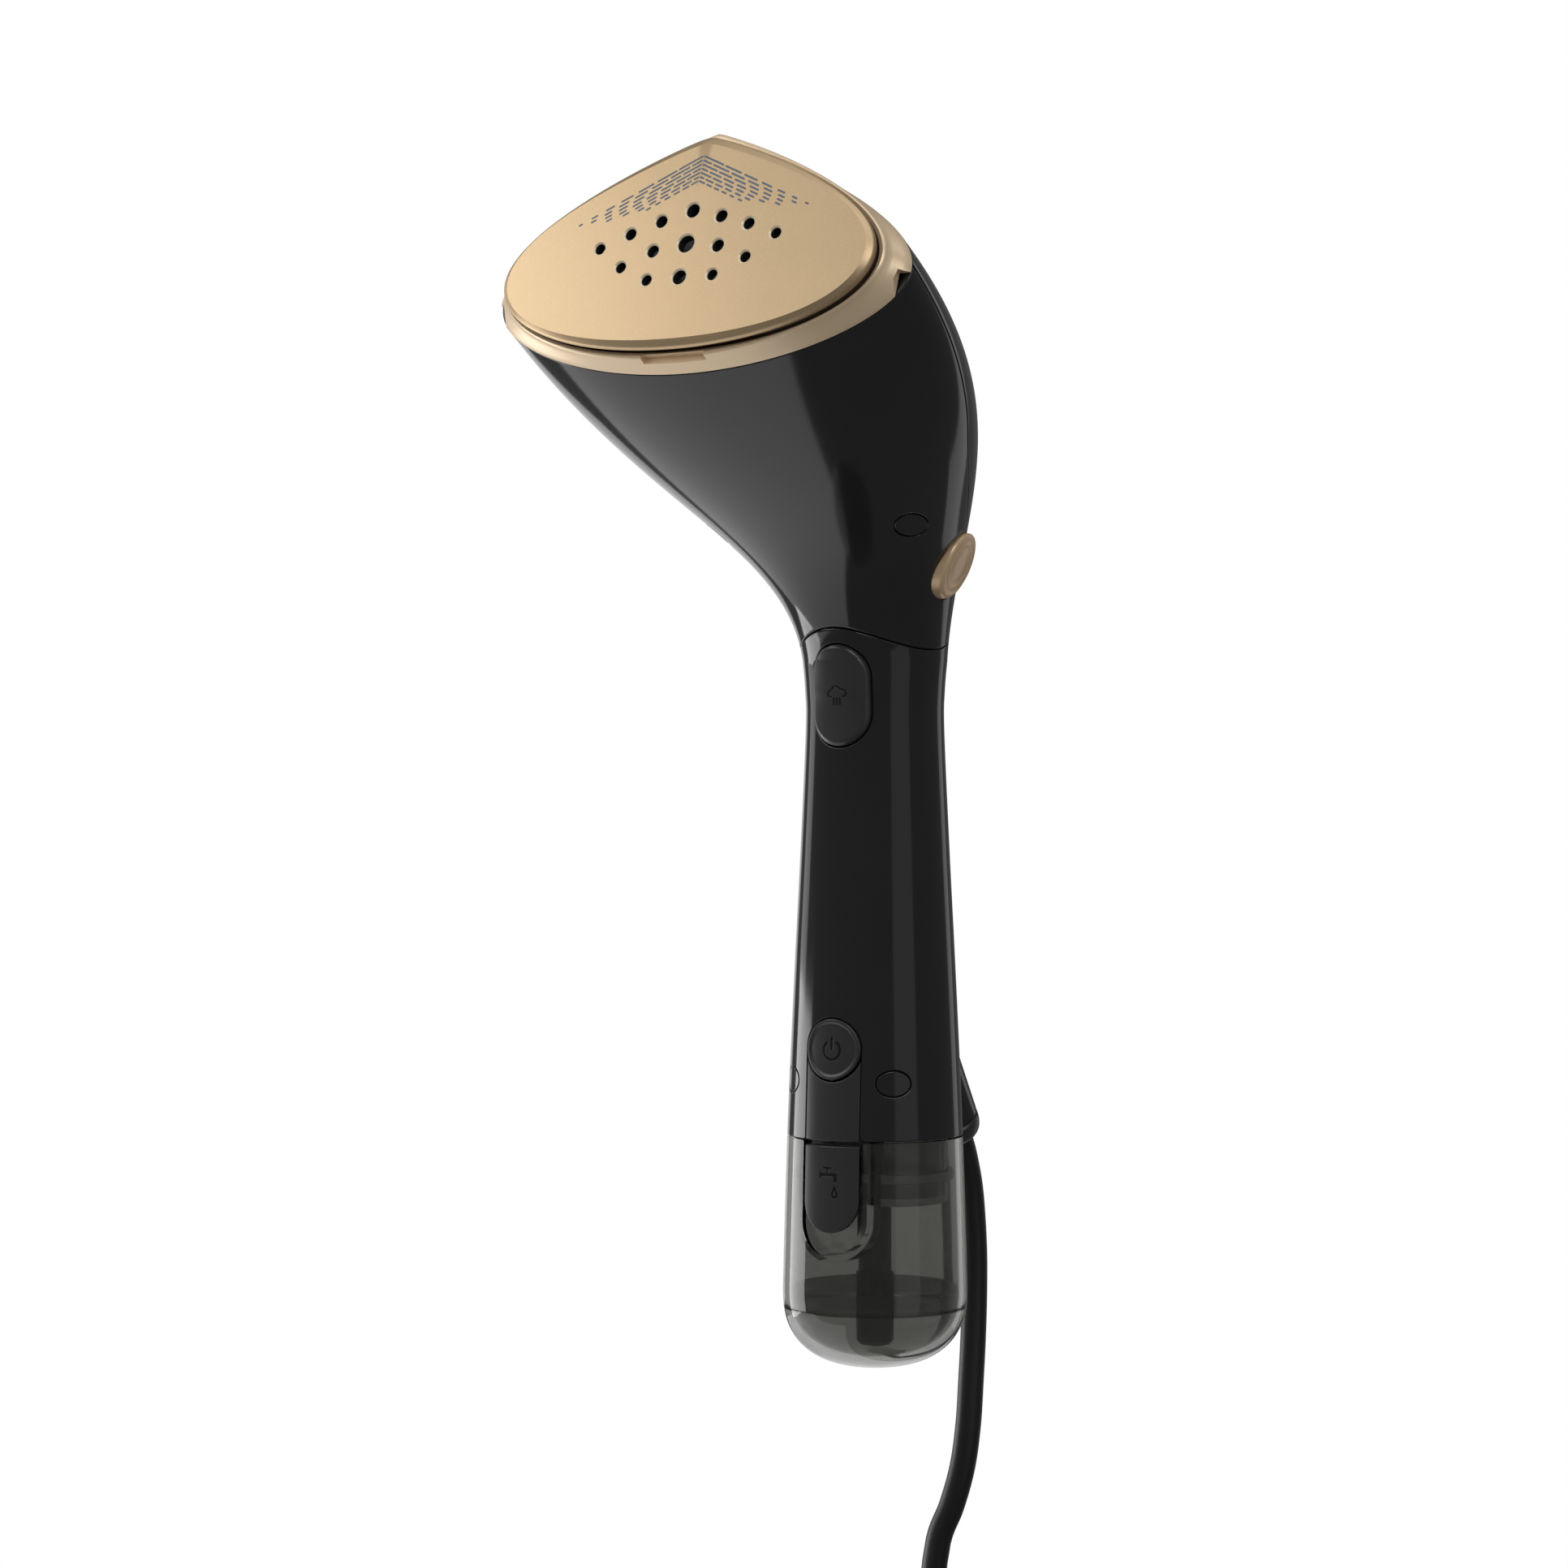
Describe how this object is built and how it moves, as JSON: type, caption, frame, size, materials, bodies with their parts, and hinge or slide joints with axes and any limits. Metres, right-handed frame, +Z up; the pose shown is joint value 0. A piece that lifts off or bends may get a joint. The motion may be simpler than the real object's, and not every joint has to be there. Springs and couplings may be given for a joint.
{
  "type": "garment steamer",
  "caption": "Hand-held garment steamer: slim black handle, tilting head with a gold steam plate, pull-off smoked water tank and a coiled mains cord with a plug.",
  "frame": {"origin": "on the handle's axis at mid grip, where a hand holds it", "axes": "+Z up the handle to the head, front (the steam plate's side) towards -Y, +X towards the release button's side"},
  "size_m": [0.134, 0.1898, 0.6724],
  "materials": {
    "gloss_black": "high gloss black plastic casing",
    "satin_black": "satin black plastic",
    "plate_gold": "fine speckled champagne gold coating",
    "bezel_gold": "satin champagne gold plated plastic",
    "button_gold": "brown gold plated plastic with turned rings",
    "gasket_brown": "dark brown moulded seal",
    "smoke": "clear smoke grey plastic",
    "seat_smoke": "translucent smoke grey plastic",
    "steel": "plain bright steel",
    "cast_aluminium": "die cast aluminium",
    "board_green": "green circuit board laminate",
    "white_plastic": "plain white moulding",
    "silicone": "milky silicone",
    "cord_black": "smooth black cord sheath",
    "pin_metal": "nickel plated brass"
  },
  "bodies": {
    "handle": {"handle_front_shell": "gloss_black", "handle_rear_cover": "gloss_black", "front_inlay": "gloss_black", "chassis": "white_plastic", "hinge_bracket": "cast_aluminium", "hinge_pin": "steel", "pump": "white_plastic", "control_board": "board_green", "trigger_switch": "satin_black", "power_switch": "satin_black", "water_hose": "silicone", "hinge_hose": "silicone", "tank_seat": "seat_smoke", "tank_seal": "silicone", "suction_pipe": "satin_black", "suction_filter": "satin_black", "trigger_spring": "steel", "handle_plug_left": "gloss_black", "handle_plug_right": "gloss_black", "handle_screw_left": "steel", "handle_screw_right": "steel", "cord_gland": "satin_black", "cord_clamp": "white_plastic", "mains_cord": "cord_black", "cord_hank": "cord_black", "cord_tie": "satin_black", "cord_tail": "cord_black", "mains_plug": "cord_black", "plug_pin_near": "pin_metal", "plug_pin_far": "pin_metal"},
    "head": {"steam_plate": "plate_gold", "plate_gasket": "gasket_brown", "bezel": "bezel_gold", "steam_chamber": "cast_aluminium", "heating_element": "steel", "thermostat": "steel", "thermal_fuse": "white_plastic", "heat_shield": "steel", "head_front_shell": "gloss_black", "head_rear_cover": "gloss_black", "neck_floor": "satin_black", "hinge_knuckle": "white_plastic", "inlet_tube": "silicone", "button_spring": "steel", "head_plug_left": "gloss_black", "head_plug_right": "gloss_black"},
    "release_button": {"release_button": "button_gold"},
    "trigger": {"trigger": "satin_black"},
    "power_button": {"power_button": "satin_black"},
    "tank": {"tank_shell": "smoke", "tank_base": "smoke"},
    "fill_flap": {"fill_flap": "satin_black"}
  },
  "joints": [
    {"name": "head_fold", "type": "hinge", "parent": "handle", "child": "head", "pos_m": [0, -0.0045, 0.106], "axis": [-1, 0, 0], "range_deg": [0, 20], "deforming": ["hinge_hose"]},
    {"name": "release_press", "type": "slide", "parent": "head", "child": "release_button", "axis": [-1, 0, 0], "range_m": [0, 0.002], "stiffness_N_per_m": 1500, "springref_m": -0.002, "deforming": ["button_spring"]},
    {"name": "trigger_press", "type": "slide", "parent": "handle", "child": "trigger", "axis": [0, 1, 0], "range_m": [0, 0.0025], "stiffness_N_per_m": 800, "springref_m": -0.002, "deforming": ["trigger_spring"]},
    {"name": "power_press", "type": "slide", "parent": "handle", "child": "power_button", "axis": [0, 1, 0], "range_m": [0, 0.001], "stiffness_N_per_m": 1500, "springref_m": -0.001},
    {"name": "tank_slide", "type": "slide", "parent": "handle", "child": "tank", "axis": [0, 0, -1], "range_m": [0, 0.07]},
    {"name": "flap_hinge", "type": "hinge", "parent": "tank", "child": "fill_flap", "pos_m": [0, -0.0247, -0.0765], "axis": [-1, 0, 0], "range_deg": [0, 100]}
  ]
}
